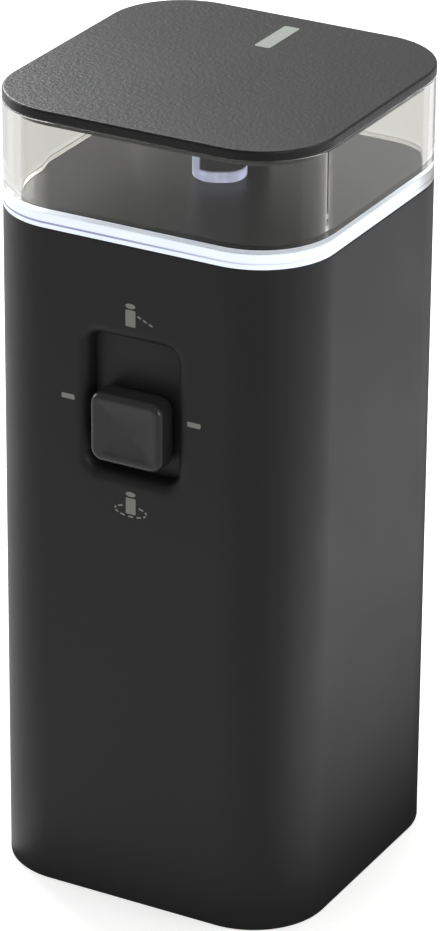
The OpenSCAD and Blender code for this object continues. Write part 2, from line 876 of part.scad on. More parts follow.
module cell_left() {
    color([0.35, 0.36, 0.4]) translate([-cell_x, cell_y, cell_low]) aa_cell();
}

module cell_right() {
    color([0.35, 0.36, 0.4]) translate([cell_x, cell_y, cell_high]) rotate([180, 0, 0])
        aa_cell();
}

// Conical wire spring between the plate and the right cell
module battery_spring() {
    turns = 3.5;
    wire = 0.35;
    steps = 20;
    sides = 8;
    wide = 4.6;
    narrow = 3;
    high = ceiling_low - contact_sheet - wire - fit_gap;
    low = cell_high + wire + fit_gap;
    count = round(turns * steps);
    rings = [for (i = [0:count]) let (t = i / count, a = 360 * turns * t,
            r = narrow + (wide - narrow) * t, z = low + (high - low) * t)
        for (k = [0:sides - 1]) let (b = 360 * k / sides)
            [(r + wire * cos(b)) * cos(a), (r + wire * cos(b)) * sin(a), z + wire * sin(b)]];
    walls = [for (i = [0:count - 1], k = [0:sides - 1]) let (n = (k + 1) % sides)
        [i * sides + k, i * sides + n, (i + 1) * sides + n, (i + 1) * sides + k]];
    ends = [[for (k = [sides - 1:-1:0]) k], [for (k = [0:sides - 1]) count * sides + k]];
    color([0.75, 0.76, 0.78]) translate([cell_x, cell_y, 0])
        polyhedron(points = rings, faces = concat(walls, ends));
}

// Sheet contact under the tubes' ceiling, with a tail to the board
module ceiling_contact(side) {
    sheet_half = 5.2;
    translate([side * cell_x - sheet_half, cell_y - sheet_half, ceiling_low - contact_sheet])
        cube([2 * sheet_half, 2 * sheet_half, contact_sheet]);
}

module spring_plate() {
    color([0.78, 0.78, 0.74]) ceiling_contact(1);
}

module button_contact() {
    button_radius = 3;
    color([0.78, 0.78, 0.74]) {
        ceiling_contact(-1);
        translate([-cell_x, cell_y, cell_high + fit_gap])
            cylinder(r = button_radius, h = ceiling_low - contact_sheet - cell_high - fit_gap);
    }
}

module main_board() {
    color([0.1, 0.32, 0.16]) difference() {
        translate([-board_width / 2, board_front, board_low])
            cube([board_width, board_thickness, board_high - board_low]);
        for (place = board_screw_places)
            translate([place[0], board_front - past, place[1]]) rotate([-90, 0, 0])
                cylinder(r = board_screw_radius + running, h = board_thickness + 2 * past);
    }
}

// Pan-head screw along +Z, its head's seat at the origin
module board_screw() {
    translate([0, 0, -board_screw_head_height])
        cylinder(r = board_screw_head, h = board_screw_head_height);
    cylinder(r = board_screw_radius, h = board_screw_length);
}

module board_screws() {
    color([0.6, 0.6, 0.62]) for (place = board_screw_places)
        translate([place[0], board_front, place[1]]) rotate([-90, 0, 0]) board_screw();
}

module controller_chip() {
    width = 6;
    height = 1.2;
    lead_width = 0.4;
    lead_height = 0.3;
    lead_length = 1;
    body = [width, height, width];
    lead = [lead_width, lead_height, lead_length];
    leads = 6;
    pitch = 0.9;
    middle = [chip_x, board_front, low_parts_z];
    color([0.08, 0.08, 0.09]) translate(middle) {
        translate([-body[0] / 2, -body[1], -body[2] / 2]) cube(body);
        for (i = [0:leads - 1], side = [-1, 1])
            translate([(i - (leads - 1) / 2) * pitch - lead[0] / 2, -lead[1],
                    side * (body[2] / 2 + lead[2] / 2) - lead[2] / 2])
                cube(lead);
    }
}

module capacitor() {
    radius = 2.5;
    length = 5.4;
    rim = 0.3;
    color([0.2, 0.22, 0.3]) translate([capacitor_x, board_front, opening_middle])
        rotate([90, 0, 0]) rotate_extrude() {
            square([radius, length - rim]);
            square([radius - rim, length]);
        }
}

module inductor() {
    size = 5;
    height = 3;
    radius = 2.2;
    color([0.25, 0.25, 0.27]) translate([inductor_x, board_front, opening_middle]) {
        translate([-size / 2, -height / 2, -size / 2]) cube([size, height / 2, size]);
        rotate([90, 0, 0]) cylinder(r = radius, h = height);
    }
}

module crystal() {
    half_length = 4.8;
    radius = 1.6;
    height = 2.4;
    color([0.74, 0.75, 0.77]) on_front(board_front, low_parts_z) translate([crystal_x, 0, 0])
        linear_extrude(height) rounded_rect(half_length, radius, radius - fit_gap);
}

module resistors() {
    length = 1.6;
    height = 0.5;
    width = 0.8;
    size = [length, height, width];
    count = 5;
    pitch = 2.2;
    color([0.16, 0.14, 0.13]) for (i = [0:count - 1], row = [0, 1])
        translate([(i - (count - 1) / 2) * pitch - size[0] / 2, board_front - size[1],
                board_low + resistor_rise + row * part_drop])
            cube(size);
}

module board_header() {
    pin = 0.6;
    pin_proud = 0.6;
    block = [header_pins * pin_pitch, header_depth, header_depth];
    block_drop = 3.4;
    block_low = board_high - block_drop;
    color([0.12, 0.12, 0.13]) {
        translate([-block[0] / 2, board_back, block_low]) cube(block);
        for (i = [0:header_pins - 1])
            translate([(i - (header_pins - 1) / 2) * pin_pitch - pin / 2,
                    board_back + (header_depth - pin) / 2, block_low])
                cube([pin, pin, ring_board_high + pin_proud - block_low]);
    }
}

module ring_board() {
    hole = 0.5;
    color([0.92, 0.93, 0.92]) difference() {
        rounded_prism(ring_board_half, ring_board_half, ring_board_corner,
            ring_board_low, ring_board_high);
        for (side = [-1, 1]) translate([side * ring_screw_x, ring_screw_y, 0])
            screw_hole(board_screw_radius + running, ring_board_low - past,
                ring_board_high + past);
        for (i = [0:header_pins - 1])
            translate([(i - (header_pins - 1) / 2) * pin_pitch, board_back + header_depth / 2, 0])
                screw_hole(hole, ring_board_low - past, ring_board_high + past);
    }
}

module ring_lamps() {
    lamp_pitch = 12;
    color([0.98, 0.95, 0.8]) for (turn = [0:3]) rotate(90 * turn)
        for (i = [0:lamps_per_side - 1])
            translate([(i - (lamps_per_side - 1) / 2) * lamp_pitch - lamp_length / 2,
                    lamp_line - lamp_width / 2, ring_board_high])
                cube([lamp_length, lamp_width, lamp_height]);
}

module ring_screws() {
    color([0.6, 0.6, 0.62]) for (side = [-1, 1])
        translate([side * ring_screw_x, ring_screw_y, ring_board_high]) rotate([180, 0, 0])
            board_screw();
}

body_shell();
light_ring();
clear_lens();
deck();
top_cap();
direction_mark();
halo_lens();
halo_emitter();
halo_reflector();
beam_emitter();
beam_holder();
mode_slider();
slider_rails();
mode_switch();
switch_lever();
off_marks();
beam_sign();
halo_sign();
base_plate();
base_screws();
battery_door();
bridge_contact();
battery_carrier();
cell_left();
cell_right();
battery_spring();
spring_plate();
button_contact();
main_board();
board_screws();
controller_chip();
capacitor();
inductor();
crystal();
resistors();
board_header();
ring_board();
ring_lamps();
ring_screws();
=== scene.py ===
import math

import bmesh
import bpy
from mathutils import Matrix, Vector


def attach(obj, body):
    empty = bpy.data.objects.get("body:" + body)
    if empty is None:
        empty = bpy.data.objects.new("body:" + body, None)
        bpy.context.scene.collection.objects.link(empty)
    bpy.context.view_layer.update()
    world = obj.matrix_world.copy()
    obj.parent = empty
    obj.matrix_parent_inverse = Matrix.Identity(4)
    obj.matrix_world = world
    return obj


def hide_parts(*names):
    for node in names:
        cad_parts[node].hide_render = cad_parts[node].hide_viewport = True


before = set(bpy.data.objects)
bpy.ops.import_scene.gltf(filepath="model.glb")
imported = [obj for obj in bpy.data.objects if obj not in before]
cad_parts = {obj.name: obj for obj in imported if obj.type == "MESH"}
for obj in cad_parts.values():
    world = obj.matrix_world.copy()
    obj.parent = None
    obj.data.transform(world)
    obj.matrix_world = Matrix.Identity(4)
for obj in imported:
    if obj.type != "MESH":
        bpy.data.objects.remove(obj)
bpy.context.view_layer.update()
MM = 0.001
bpy.context.scene.view_settings.view_transform = "Standard"


# Camera: a long lens, to the right of the front and 25 degrees above it, so that the tower's
# upright edges draw together only a little towards the floor.
picture_tall = 931
focal_length = 4800.19
film = 36.0
azimuth, elevation, roll = (math.radians(a) for a in (28.709, 24.966, 0.433))
camera_distance = 546.55 * MM
aim_height = 47.09 * MM
aim_right = 0.204 * MM
camera_back = Vector((math.sin(azimuth) * math.cos(elevation),
                      -math.cos(azimuth) * math.cos(elevation), math.sin(elevation)))
level_right = Vector((math.cos(azimuth), math.sin(azimuth), 0))
level_up = camera_back.cross(level_right)
camera_right = level_right * math.cos(roll) + level_up * math.sin(roll)
camera_up = level_up * math.cos(roll) - level_right * math.sin(roll)
bpy.ops.object.camera_add()
camera = bpy.context.object
camera.data.sensor_width = film
camera.data.lens = focal_length * film / picture_tall
camera.data.clip_start, camera.data.clip_end = 0.01, 20
turned = Matrix((camera_right, camera_up, camera_back)).transposed().to_4x4()
spot = level_right * aim_right + Vector((0, 0, aim_height)) + camera_back * camera_distance
camera.matrix_world = Matrix.Translation(spot) @ turned
bpy.context.scene.camera = camera


def add(tree, kind, inputs=(), **settings):
    """Adds a shader node, with its settings and its inputs: a value, or a socket to link."""
    made = tree.nodes.new("ShaderNode" + kind)
    for key, value in settings.items():
        setattr(made, key, value)
    for key, value in dict(inputs).items():
        if isinstance(value, bpy.types.NodeSocket):
            tree.links.new(value, made.inputs[key])
        else:
            made.inputs[key].default_value = value
    return made


def math_node(tree, operation, *values):
    """Adds a maths node and gives its output."""
    return add(tree, "Math", dict(enumerate(values)), operation=operation).outputs[0]


# Floor: a pale sheet without an end. The lens and the camera see it white, and it keeps the
# tower's shadow. Glossy faces see a painted reflection: emission laid out on the floor, white on
# the left and far to the right, with painted shade near the tower's right side and in front,
# where the camera stands.
floor_colour = (0.80, 0.80, 0.79, 1)
floor_white, floor_through = 0.50, 0.86
floor_near_front, floor_far_front = 0.60, 0.44
bpy.ops.mesh.primitive_plane_add(size=6)
floor = bpy.context.object
floor.name = "studio_floor"
paper = bpy.data.materials.new("pale_paper")
paper.use_nodes = True
tree = paper.node_tree
tree.nodes.clear()
across, along, _ = add(tree, "SeparateXYZ", {0: add(tree, "TexCoord").outputs["Object"]}).outputs


def ramp(tree, value, start, end, low, high, kind="SMOOTHSTEP"):
    """A value that goes from low to high as the given one goes from start to end."""
    return add(tree, "MapRange", {"Value": value, "From Min": start, "From Max": end,
                                  "To Min": low, "To Max": high}, interpolation_type=kind).outputs[0]


# Painted reflection: the floor's brightness for glossy rays, set by position, with painted shade near
# the tower.
near_right = ramp(tree, across, 24 * MM, 48 * MM, 0.05, 1.2)
far_right = ramp(tree, across, 46 * MM, 100 * MM, 0.0, 0.6, "LINEAR")
past_right = ramp(tree, across, 100 * MM, 108 * MM, 0.0, -1.1)
left = ramp(tree, across, -18 * MM, -20 * MM, 0.0, 1.2)
sides = math_node(tree, "MAXIMUM", left, math_node(tree, "ADD", math_node(
    tree, "ADD", near_right, far_right), past_right))
front = ramp(tree, along, -20 * MM, -170 * MM, floor_near_front, floor_far_front)
front = math_node(tree, "MULTIPLY", front, ramp(tree, across, 0.0, 40 * MM, 1.0, 0.6))
behind = ramp(tree, along, -40 * MM, -14 * MM, 0.0, 1.0)
painted_floor_reflection = add(tree, "Mix", {0: behind, 2: front, 3: sides}, data_type="FLOAT").outputs[0]
seen = add(tree, "LightPath").outputs
white = add(tree, "Emission", {
    "Strength": math_node(tree, "MULTIPLY", seen["Is Camera Ray"], floor_white)})
dull = add(tree, "BsdfDiffuse", {"Color": floor_colour})
both = add(tree, "AddShader", {0: dull.outputs[0], 1: white.outputs[0]})
painted_floor_reflection = add(tree, "Mix", {0: seen["Is Transmission Ray"], 2: painted_floor_reflection, 3: floor_through},
               data_type="FLOAT").outputs[0]
painted_reflection_glow = add(tree, "Emission", {"Strength": painted_floor_reflection})
by_ray = math_node(tree, "MAXIMUM", seen["Is Glossy Ray"], seen["Is Transmission Ray"])
face = add(tree, "MixShader", {0: by_ray, 1: both.outputs[0], 2: painted_reflection_glow.outputs[0]})
see_through = add(tree, "BsdfTransparent")
one_sided = add(tree, "MixShader", {0: add(tree, "NewGeometry").outputs["Backfacing"],
                                    1: face.outputs[0], 2: see_through.outputs[0]})
add(tree, "OutputMaterial", {"Surface": one_sided.outputs[0]})
floor.data.materials.append(paper)

# Room: white all round for the camera and through the lens, softer as a light, and dimmer in
# front of the tower for glossy faces, where the photographer stands in the dark.
room_light = 0.62
room_front, room_back = 0.16, 0.42
room = bpy.data.worlds.new("white_room")
bpy.context.scene.world = room
room.use_nodes = True
tree = room.node_tree
tree.nodes.clear()
seen = add(tree, "LightPath").outputs
heading = add(tree, "SeparateXYZ", {0: add(tree, "TexCoord").outputs["Generated"]}).outputs["Y"]
behind = add(tree, "MapRange", {"Value": heading, "From Min": -0.35, "From Max": 0.55,
                                "To Min": room_front, "To Max": room_back},
             interpolation_type="SMOOTHSTEP").outputs[0]
straight = math_node(tree, "MAXIMUM", seen["Is Camera Ray"], seen["Is Transmission Ray"])
soft = add(tree, "Mix", {0: seen["Is Glossy Ray"], 2: room_light, 3: behind},
           data_type="FLOAT").outputs[0]
level = add(tree, "Mix", {0: straight, 2: soft, 3: 1.0}, data_type="FLOAT").outputs[0]
sky = add(tree, "Background", {"Color": (1, 1, 1, 1), "Strength": level})
add(tree, "OutputWorld", {"Surface": sky.outputs[0]})

# Lamps: five softboxes. One hangs over the tower, one at the left draws the bright line down the
# left corner, two fill from the right, and a small one grazes the cap and shows its pebble.
for name, where, size, power in (
        ("softbox_over", (-0.10, 0.35, 0.75), 0.50, 2.2),
        ("softbox_left", (-0.72, 0.02, 0.26), 0.30, 1.3),
        ("softbox_right", (0.75, 0.25, 0.40), 0.40, 1.0),
        ("softbox_front", (0.62, -0.36, 0.25), 0.30, 0.8),
        ("softbox_cap", (-0.25, 0.18, 0.25), 0.14, 0.75)):
    bpy.ops.object.light_add(type="AREA", location=where)
    lamp = bpy.context.object
    lamp.name = name
    lamp.data.shape = "SQUARE"
    lamp.data.size = size
    lamp.data.energy = power
    lamp.rotation_euler = (Vector(where) - Vector((0, 0, 0.05))).to_track_quat("Z", "Y").to_euler()


# Tower shell: one moulding of black plastic, open at the top and the bottom, with a soft-rimmed
# opening for the slider in its front wall. The outer and the inner skin are made apart and
# bridged at the rims and at the opening.
half = 20 * MM
corner = 9.1 * MM
shell_high = 81.1 * MM
shell_wall = 2.1 * MM
shell_edge = 0.2 * MM
corner_steps = 22
opening_half_x, opening_half_z = 5.55 * MM, 8.1 * MM
opening_corner = 1.6 * MM
opening_middle = 61.8 * MM
rim_round = 1.4 * MM
rim_steps = 8
window_margin = 0.6 * MM
tiny = 0.01 * MM


def pick(kind, test):
    """Selects the points, edges or faces of the mesh in edit mode that pass the test."""
    mesh = bmesh.from_edit_mesh(bpy.context.object.data)
    for part in (*mesh.verts, *mesh.edges, *mesh.faces):
        part.select = False
    mesh.select_mode = {kind}
    bpy.context.tool_settings.mesh_select_mode = [kind == k for k in ("VERT", "EDGE", "FACE")]
    for part in {"VERT": mesh.verts, "EDGE": mesh.edges, "FACE": mesh.faces}[kind]:
        if test(part):
            part.select_set(True)
    mesh.select_flush_mode()
    bmesh.update_edit_mesh(bpy.context.object.data)


def rounded_block(name, half_x, half_y, low, high, radius, steps=corner_steps):
    """Adds a block with rounded upright corners and stays in edit mode."""
    bpy.ops.object.select_all(action="DESELECT")
    bpy.ops.mesh.primitive_cube_add(size=1, location=(0, 0, (low + high) / 2))
    piece = bpy.context.object
    piece.name = name
    piece.scale = (2 * half_x, 2 * half_y, high - low)
    bpy.ops.object.transform_apply(location=True, rotation=True, scale=True)
    bpy.ops.object.mode_set(mode="EDIT")
    pick("EDGE", lambda e: abs(e.verts[0].co.z - e.verts[1].co.z) > tiny)
    bpy.ops.mesh.bevel(offset=radius, segments=steps, affect="EDGES", clamp_overlap=False)
    return piece


def delete_caps():
    """Deletes the level faces of the mesh in edit mode."""
    pick("FACE", lambda f: abs(f.normal.z) > 0.99)
    bpy.ops.mesh.delete(type="FACE")


def cut_window(front, half_x, half_z):
    """Cuts a rectangle out of the front face that lies at y = front."""
    for spot, way in (((-half_x, 0, 0), (1, 0, 0)), ((half_x, 0, 0), (1, 0, 0)),
                      ((0, 0, opening_middle - half_z), (0, 0, 1)),
                      ((0, 0, opening_middle + half_z), (0, 0, 1))):
        pick("FACE", lambda f: abs(f.calc_center_median().y - front) < tiny)
        bpy.ops.mesh.bisect(plane_co=spot, plane_no=way)
    pick("FACE", lambda f: abs(f.calc_center_median().y - front) < tiny
         and abs(f.calc_center_median().x) < tiny
         and abs(f.calc_center_median().z - opening_middle) < half_z / 2)
    bpy.ops.mesh.delete(type="FACE")


def join(pieces, name):
    """Joins the pieces into the first one, under a new name."""
    bpy.ops.object.select_all(action="DESELECT")
    for piece in pieces:
        piece.select_set(True)
    bpy.context.view_layer.objects.active = pieces[0]
    bpy.ops.object.join()
    bpy.context.object.name = name
    return bpy.context.object


def bridge(test):
    """Bridges the two open loops of the mesh in edit mode whose edges pass the test."""
    pick("EDGE", lambda e: len(e.link_faces) == 1 and all(test(v.co) for v in e.verts))
    bpy.ops.mesh.bridge_edge_loops()


def outer_crease(edge):
    """Whether an edge lies between a level face and an outward upright one."""
    level = [f for f in edge.link_faces if abs(f.normal.z) > 0.99]
    upright = [f for f in edge.link_faces if abs(f.normal.z) < 0.01]
    return (len(level) == 1 and len(upright) == 1
            and upright[0].normal.dot(upright[0].calc_center_median()) > 0)


def finish_mesh(piece, angle=32, weighted=True):
    """Leaves edit mode with the faces pointing outwards, and smooths what is below the angle."""
    bpy.ops.mesh.select_all(action="SELECT")
    bpy.ops.mesh.remove_doubles(threshold=tiny / 10)
    bpy.ops.mesh.normals_make_consistent(inside=False)
    bpy.ops.object.mode_set(mode="OBJECT")
    bpy.ops.object.select_all(action="DESELECT")
    piece.select_set(True)
    bpy.context.view_layer.objects.active = piece
    bpy.ops.object.shade_smooth_by_angle(angle=math.radians(angle))
    if weighted:
        modifier = piece.modifiers.new("flat_faces_lead", "WEIGHTED_NORMAL")
        modifier.keep_sharp = True
        bpy.ops.object.modifier_apply(modifier=modifier.name)


outer = rounded_block("outer_skin", half, half, 0, shell_high, corner)
delete_caps()
cut_window(-half, opening_half_x + rim_round + window_margin,
           opening_half_z + rim_round + window_margin)
bpy.ops.object.mode_set(mode="OBJECT")
inner_half = half - shell_wall
inner = rounded_block("inner_skin", inner_half, inner_half, 0, shell_high, corner - shell_wall)
delete_caps()
cut_window(-inner_half, opening_half_x + window_margin, opening_half_z + window_margin)
bpy.ops.mesh.select_all(action="SELECT")
bpy.ops.mesh.flip_normals()
bpy.ops.object.mode_set(mode="OBJECT")

bpy.ops.object.select_all(action="DESELECT")
bpy.ops.mesh.primitive_plane_add(size=2, location=(0, -half, opening_middle),
                                 rotation=(math.pi / 2, 0, 0))
rim = bpy.context.object
rim.scale = (opening_half_x + rim_round, opening_half_z + rim_round, 1)
bpy.ops.object.transform_apply(location=True, rotation=True, scale=True)
bpy.ops.object.mode_set(mode="EDIT")
bpy.ops.mesh.select_all(action="SELECT")
bpy.ops.mesh.bevel(offset=opening_corner + rim_round, segments=10, affect="VERTICES",
                   clamp_overlap=False)
pick("FACE", lambda f: True)
for step in range(rim_steps):
    a, b = (math.pi / 2 * k / rim_steps for k in (step, step + 1))
    bpy.ops.mesh.inset(thickness=rim_round * (math.sin(b) - math.sin(a)),
                       depth=rim_round * (math.cos(b) - math.cos(a)))
bpy.ops.mesh.extrude_region_move(
    TRANSFORM_OT_translate={"value": (0, shell_wall - rim_round, 0)})
bpy.ops.mesh.delete(type="FACE")
bpy.ops.object.mode_set(mode="OBJECT")

shell = join([outer, inner, rim], "tower_shell")
bpy.ops.object.mode_set(mode="EDIT")
inside_window = opening_half_z + rim_round + 2 * window_margin
bridge(lambda p: abs(p.y + half) < tiny and abs(p.z - opening_middle) < inside_window)
bridge(lambda p: abs(p.y + inner_half) < tiny and abs(p.z - opening_middle) < inside_window)
bridge(lambda p: abs(p.z - shell_high) < tiny)
bridge(lambda p: abs(p.z) < tiny)
bpy.ops.mesh.select_all(action="SELECT")
bpy.ops.mesh.normals_make_consistent(inside=False)
pick("EDGE", outer_crease)
bpy.ops.mesh.bevel(offset=shell_edge, segments=3, affect="EDGES", clamp_overlap=False)
finish_mesh(shell)
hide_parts("body_shell")
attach(shell, "tower")


def socketed_group(name, inputs, outputs):
    """A shader node group with its named inputs, given as type and start value, and outputs."""
    group = bpy.data.node_groups.new(name, "ShaderNodeTree")
    for key, (kind, value) in inputs.items():
        made = group.interface.new_socket(name=key, in_out="INPUT", socket_type="NodeSocket" + kind)
        if value is not None:
            made.default_value = value
    for key, kind in outputs.items():
        group.interface.new_socket(name=key, in_out="OUTPUT", socket_type="NodeSocket" + kind)
    return group, group.nodes.new("NodeGroupInput").outputs, group.nodes.new("NodeGroupOutput").inputs


# Moulded grain: the fine pebble that a spark-eroded mould leaves, with slow changes of tone.
grain, given, out = socketed_group(
    "moulded_grain", {"Place": ("Vector", None), "Grain": ("Float", 0.2 * MM),
                      "Patch": ("Float", 12 * MM)}, {"Height": "Float", "Tone": "Float"})
fine = add(grain, "TexNoise", {"Vector": given["Place"], "Detail": 2.0, "Roughness": 0.55,
                               "Scale": math_node(grain, "DIVIDE", 1.0, given["Grain"])})
wide = add(grain, "TexNoise", {"Vector": given["Place"], "Detail": 1.0,
                               "Scale": math_node(grain, "DIVIDE", 1.0, given["Patch"])})
grain.links.new(fine.outputs["Fac"], out["Height"])
tone = math_node(grain, "ADD", math_node(grain, "MULTIPLY", fine.outputs["Fac"], 0.4),
                 math_node(grain, "MULTIPLY", wide.outputs["Fac"], 0.6))
grain.links.new(tone, out["Tone"])

# Edge wear and highlight: a mask of the outer edges within a reach, where handling polishes a finish.
# The finishes also lighten their colour under it, which is a painted highlight as well as wear.
wear_and_highlight, given, out = socketed_group(
    "edge_wear_and_highlight", {"Reach": ("Float", 0.3 * MM), "Place": ("Vector", None)}, {"Mask": "Float"})
rounded = add(wear_and_highlight, "Bevel", {"Radius": given["Reach"]}, samples=4).outputs[0]
flat = add(wear_and_highlight, "NewGeometry").outputs["Normal"]
match = add(wear_and_highlight, "VectorMath", {0: rounded, 1: flat}, operation="DOT_PRODUCT").outputs["Value"]
turn = add(wear_and_highlight, "MapRange", {"Value": match, "From Min": 0.995, "From Max": 0.80}).outputs[0]
spots = add(wear_and_highlight, "TexNoise", {"Vector": given["Place"], "Scale": 700.0, "Detail": 2.0})
wear_and_highlight_mask = math_node(wear_and_highlight, "MULTIPLY", turn, spots.outputs["Fac"])
wear_and_highlight.links.new(wear_and_highlight_mask, out["Mask"])


def moulded(name, colour, roughness, grain_size=0.2, grain_depth=0.004, vary=0.12, edge=0.35,
            specular=0.5, coat=0.0, metallic=0.0, patch=12, polish=0.25):
    """A finish with grain, slow tone changes and polished edges. Its edges are lightened by the
    edge amount, a painted highlight that also stands for wear. Colour is linear, sizes in mm.
    """
    made = bpy.data.materials.new(name)
    made.use_nodes = True
    tree = made.node_tree
    tree.nodes.clear()
    place = add(tree, "TexCoord").outputs["Object"]
    pebble = add(tree, "Group", node_tree=grain)
    tree.links.new(place, pebble.inputs["Place"])
    pebble.inputs["Grain"].default_value = grain_size * MM
    pebble.inputs["Patch"].default_value = patch * MM
    rub_and_highlight = add(tree, "Group", node_tree=wear_and_highlight)
    tree.links.new(place, rub_and_highlight.inputs["Place"])
    dark = [c * (1 - vary) for c in colour]
    light = [min(1.0, c * (1 + vary)) for c in colour]
    ground = add(tree, "Mix", {0: pebble.outputs["Tone"], 6: (*dark, 1), 7: (*light, 1)},
                 data_type="RGBA").outputs[2]
    # Painted highlight and wear: the edge mask lightens the colour by the edge amount.
    edge_highlight_colour = [min(1.0, c * (1 + edge) + 0.01 * edge) for c in colour]
    paint = add(tree, "Mix", {0: rub_and_highlight.outputs["Mask"], 6: ground, 7: (*edge_highlight_colour, 1)},
                data_type="RGBA").outputs[2]
    rough = add(tree, "MapRange", {"Value": pebble.outputs["Tone"], "From Min": 0.3,
                                   "From Max": 0.7, "To Min": roughness * 0.93,
                                   "To Max": min(1.0, roughness * 1.07)}).outputs[0]
    polished = math_node(tree, "SUBTRACT", rough,
                         math_node(tree, "MULTIPLY", rub_and_highlight.outputs["Mask"], roughness * polish))
    bump = add(tree, "Bump", {"Height": pebble.outputs["Height"], "Strength": 1.0,
                              "Distance": grain_depth * MM}).outputs[0]
    skin = add(tree, "BsdfPrincipled", {
        "Base Color": paint, "Roughness": polished, "Normal": bump, "Metallic": metallic,
        "Specular IOR Level": specular, "Coat Weight": coat, "Coat Roughness": 0.08})
    add(tree, "OutputMaterial", {"Surface": skin.outputs[0]})
    return made


def wear_it(piece, material):
    """Gives a piece its one material."""
    piece.data.materials.clear()
    piece.data.materials.append(material)


black_plastic = moulded("black_moulded_plastic", (0.0125, 0.0119, 0.0128), 0.50, grain_size=0.16,
                        grain_depth=0.006, vary=0.10, edge=0.25, specular=0.5)
wear_it(shell, black_plastic)


# Printed signs: grey ink on the front wall, a few hundredths of a millimetre thick. The two
# short marks stand for off, the tower with a line of dashes for the beam, and the tower in an
# oval of dashes for the halo.
ink = 0.02 * MM
off_mark = (1.65 * MM, 0.6 * MM)
off_mark_x = opening_half_x + 1.55 * MM + off_mark[0] / 2
tower_size = (1.24 * MM, 1.95 * MM)
lid_gap, lid_rise = 0.16 * MM, 0.3 * MM
beam_sign_foot = opening_middle + opening_half_z + 1.85 * MM
halo_sign_top = opening_middle - opening_half_z - 1.75 * MM
halo_sign_foot = halo_sign_top - tower_size[1] - lid_gap - 2 * lid_rise


def front_patch(x, z, width, height, turn=0.0, round_by=0.0, points=4):
    """A flat patch of ink on the front wall, with its middle at x and z."""
    bpy.ops.object.select_all(action="DESELECT")
    if points == 4:
        bpy.ops.mesh.primitive_plane_add(size=1)
    else:
        bpy.ops.mesh.primitive_circle_add(vertices=points, radius=0.5, fill_type="NGON")
    patch = bpy.context.object
    patch.scale = (width, height, 1)
    bpy.ops.object.transform_apply(scale=True)
    if round_by:
        bpy.ops.object.mode_set(mode="EDIT")
        bpy.ops.mesh.select_all(action="SELECT")
        bpy.ops.mesh.bevel(offset=round_by, segments=4, affect="VERTICES")
        bpy.ops.object.mode_set(mode="OBJECT")
    patch.rotation_euler = (0, 0, turn)
    bpy.ops.object.transform_apply(rotation=True)
    patch.rotation_euler = (math.pi / 2, 0, 0)
    patch.location = (x, -half + tiny, z)
    bpy.ops.object.transform_apply(location=True, rotation=True)
    return patch


def print_on(patches, name, node):
    """Joins the patches, gives the ink its thickness and lets it stand for the CAD node."""
    sign = join(patches, name)
    film_of_ink = sign.modifiers.new("ink", "SOLIDIFY")
    film_of_ink.thickness = ink + tiny
    film_of_ink.offset = 1
    bpy.ops.object.modifier_apply(modifier="ink")
    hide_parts(node)
    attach(sign, "tower")
    wear_it(sign, grey_ink)
    return sign


def sign_tower(foot):
    """The little tower of a sign: an upright bar with rounded corners and a lid above it."""
    width, height = tower_size
    lid_middle = foot + height + lid_gap + lid_rise
    return [front_patch(0, foot + height / 2, width, height, round_by=0.12 * MM),
            front_patch(0, lid_middle, width, 2 * lid_rise, points=24)]


grey_ink = moulded("grey_ink", (0.205, 0.203, 0.188), 0.6, grain_size=0.1, grain_depth=0.002,
                   vary=0.18, edge=0.0, specular=0.3, patch=3)
print_on([front_patch(side * off_mark_x, opening_middle, *off_mark, round_by=0.1 * MM)
          for side in (-1, 1)], "off_marks_print", "off_marks")

dash, dash_gap, dash_height = 0.5 * MM, 0.28 * MM, 0.2 * MM
slope = math.radians(-24)
beam_start = (tower_size[0] / 2 + 0.25 * MM, 0.72 * tower_size[1])
dashes = []
for i in range(3):
    along = i * (dash + dash_gap) + dash / 2
    dashes.append(front_patch(beam_start[0] + along * math.cos(slope),
                              beam_sign_foot + beam_start[1] + along * math.sin(slope),
                              dash, dash_height, turn=slope))
print_on(sign_tower(beam_sign_foot) + dashes, "beam_sign_print", "beam_sign")

oval_half_x, oval_half_z, oval_line = 2.1 * MM, 0.75 * MM, 0.2 * MM
oval_points = 120
oval_start, oval_span, oval_dashes, oval_duty = 125, 290, 9, 0.62
oval_middle = halo_sign_foot + 0.35 * MM
oval = front_patch(0, oval_middle, 2 * oval_half_x, 2 * oval_half_z, points=oval_points)
bpy.ops.object.mode_set(mode="EDIT")
pick("FACE", lambda f: True)
bpy.ops.mesh.inset(thickness=oval_line)
bpy.ops.mesh.delete(type="FACE")
oval_pitch = oval_span / (oval_dashes - 1 + oval_duty)


def in_a_gap(face):
    """Whether a face of the oval lies between two dashes."""
    middle = face.calc_center_median()
    angle = math.degrees(math.atan2((middle.z - oval_middle) / oval_half_z, middle.x / oval_half_x))
    turned_by = (angle - oval_start) % 360
    return turned_by > oval_span or turned_by / oval_pitch % 1 > oval_duty


pick("FACE", in_a_gap)
bpy.ops.mesh.delete(type="FACE")
bpy.ops.object.mode_set(mode="OBJECT")
print_on(sign_tower(halo_sign_foot) + [oval], "halo_sign_print", "halo_sign")


# Slider knob: polished black plastic, dished for the finger. It is one moulding with the shutter
# that closes the opening from behind, and a fork at its back takes the switch's lever along.
knob_half_x, knob_half_z = 4.55 * MM, 4.15 * MM
knob_corner = 1.5 * MM
knob_thickness = 2.6 * MM
knob_round = 0.8 * MM
knob_front = -half - 1.4 * MM
knob_back = knob_front + knob_thickness
knob_middle = opening_middle - 2.25 * MM
dish_rim = 0.15 * MM
dish_depth = 0.5 * MM
dish_steps = 12
shutter_front = -inner_half + 0.15 * MM
shutter_thickness = 1.0 * MM
shutter_half_x, shutter_half_z = 6.25 * MM, 11.05 * MM
neck_half_x, neck_half_z = 3.5 * MM, 3.0 * MM
fork_half_x, fork_wall, fork_reach, fork_depth = 2 * MM, 1 * MM, 1.1 * MM, 2 * MM


